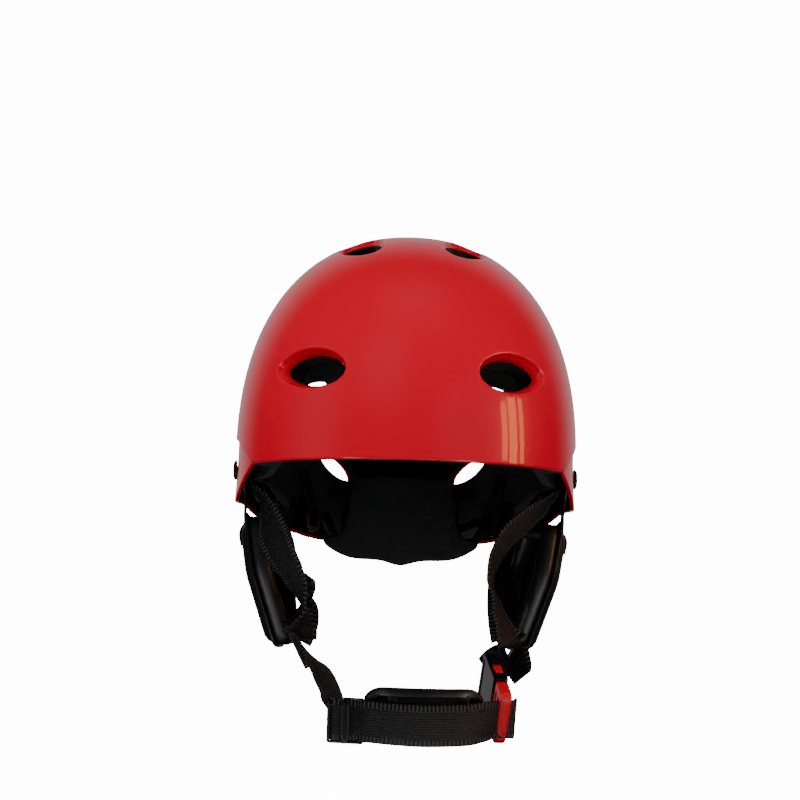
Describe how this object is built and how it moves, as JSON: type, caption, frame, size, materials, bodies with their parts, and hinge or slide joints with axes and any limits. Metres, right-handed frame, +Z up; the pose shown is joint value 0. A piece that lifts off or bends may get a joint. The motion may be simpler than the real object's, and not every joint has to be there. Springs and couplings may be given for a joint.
{
  "type": "water sports helmet",
  "caption": "Half-shell water sports helmet with foam liner, vented dome, hinged ear protectors, nape fit dial and an adjustable chin strap with a side-release buckle.",
  "frame": {"origin": "middle of the head opening, on the helmet's symmetry plane, level with the lower edge of the front brim", "axes": "+Z up through the crown, -Y the wearer's front, +X the wearer's left"},
  "size_m": [0.2266, 0.276, 0.326],
  "materials": {
    "shell_red": "gloss",
    "liner_foam": "matt closed-cell foam",
    "pad_foam": "brushed fabric over foam",
    "black_plastic": "satin",
    "ear_foam": "moulded skin foam",
    "webbing": "woven",
    "steel": "satin"
  },
  "bodies": {
    "helmet": {"outer_shell": "shell_red", "foam_liner": "liner_foam", "crown_pad": "pad_foam", "brow_pad": "pad_foam", "side_pad_left": "pad_foam", "side_pad_right": "pad_foam", "front_strap_right": "webbing", "front_strap_left": "webbing", "rear_strap_right": "webbing", "rear_strap_left": "webbing", "divider_right": "black_plastic", "divider_left": "black_plastic", "buckle_female": "black_plastic", "buckle_loop_strap": "webbing", "strap_tail": "webbing", "side_screw_left": "steel", "side_screw_right": "steel", "side_nut_left": "steel", "side_nut_right": "steel", "rear_rivet_left": "black_plastic", "rear_rivet_right": "black_plastic", "ear_hanger_left": "black_plastic", "ear_hanger_right": "black_plastic", "dial_housing": "black_plastic", "nape_plate": "black_plastic", "nape_pad": "pad_foam", "fit_elastic_left": "webbing", "fit_elastic_right": "webbing"},
    "ear_protector_left": {"ear_cup_left": "black_plastic", "ear_cushion_left": "ear_foam", "ear_tab_left": "black_plastic"},
    "ear_protector_right": {"ear_cup_right": "black_plastic", "ear_cushion_right": "ear_foam", "ear_tab_right": "black_plastic"},
    "fit_dial": {"dial_knob": "black_plastic", "dial_pinion": "black_plastic"},
    "rack_left": {"rack_arm_left": "black_plastic"},
    "rack_right": {"rack_arm_right": "black_plastic"},
    "chin_assembly": {"buckle_male": "shell_red", "chin_strap": "webbing", "chin_slider": "black_plastic", "chin_pad": "pad_foam", "chin_lead_strap": "webbing"},
    "prong_upper": {"buckle_prong_upper": "shell_red"},
    "prong_lower": {"buckle_prong_lower": "shell_red"}
  },
  "joints": [
    {"name": "ear_swing_left", "type": "hinge", "parent": "helmet", "child": "ear_protector_left", "pos_m": [0.1046, -0.001, -0.0303], "axis": [0, -1, 0], "range_deg": [0, 22]},
    {"name": "ear_swing_right", "type": "hinge", "parent": "helmet", "child": "ear_protector_right", "pos_m": [-0.1046, -0.001, -0.0303], "axis": [0, 1, 0], "range_deg": [0, 22]},
    {"name": "dial_turn", "type": "hinge", "parent": "helmet", "child": "fit_dial", "pos_m": [0, 0.107, -0.043], "axis": [0, 1, 0], "range_deg": [-110, 0]},
    {"name": "rack_slide_left", "type": "slide", "parent": "helmet", "child": "rack_left", "axis": [1, 0, 0], "range_m": [-0.01, 0]},
    {"name": "rack_slide_right", "type": "slide", "parent": "helmet", "child": "rack_right", "axis": [-1, 0, 0], "range_m": [-0.01, 0]},
    {"name": "buckle_release", "type": "slide", "parent": "helmet", "child": "chin_assembly", "axis": [0.14, -0.8603, -0.4902], "range_m": [0, 0.026], "deforming": ["buckle_prong_upper", "buckle_prong_lower"]},
    {"name": "prong_press_upper", "type": "hinge", "parent": "chin_assembly", "child": "prong_upper", "pos_m": [0.06124, -0.0704, -0.13262], "axis": [-0.987, -0.1608, 0.0001], "range_deg": [0, 7], "stiffness_Nm_per_rad": 0.5},
    {"name": "prong_press_lower", "type": "hinge", "parent": "chin_assembly", "child": "prong_lower", "pos_m": [0.05898, -0.05656, -0.15755], "axis": [0.987, 0.1608, -0.0001], "range_deg": [0, 7], "stiffness_Nm_per_rad": 0.5}
  ],
  "couplings": [
    {"joint": "rack_slide_left", "follows": "dial_turn", "m_per_rad": 0.005},
    {"joint": "rack_slide_right", "follows": "dial_turn", "m_per_rad": 0.005}
  ]
}
